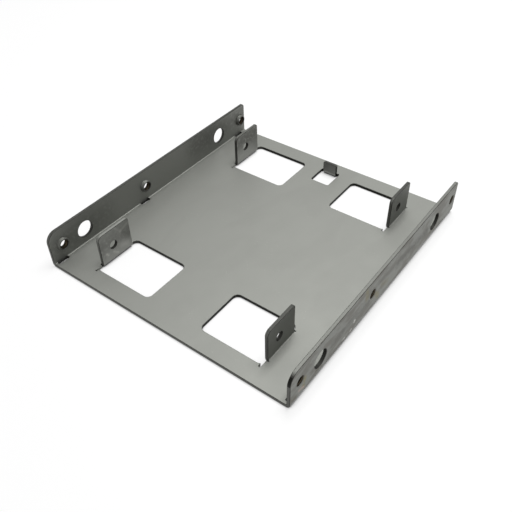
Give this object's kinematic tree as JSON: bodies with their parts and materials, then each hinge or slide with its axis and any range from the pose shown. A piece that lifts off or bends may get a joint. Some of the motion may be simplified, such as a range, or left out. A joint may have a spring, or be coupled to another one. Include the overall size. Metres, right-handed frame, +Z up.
{
  "type": "drive bay adapter bracket",
  "caption": "Folded steel tray with upturned side walls and upright screw tabs, which carries a small drive inside a larger drive bay.",
  "frame": {"origin": "middle of the footprint, on the plate's underside", "axes": "+X across the bracket towards the right wall, +Y from the front edge to the back edge beside the stop tab, +Z up from the plate along the walls"},
  "size_m": [0.1016, 0.1102, 0.014],
  "materials": {
    "plated_steel": "satin zinc-plated sheet"
  },
  "bodies": {
    "root": {"bracket": "plated_steel"}
  },
  "joints": []
}
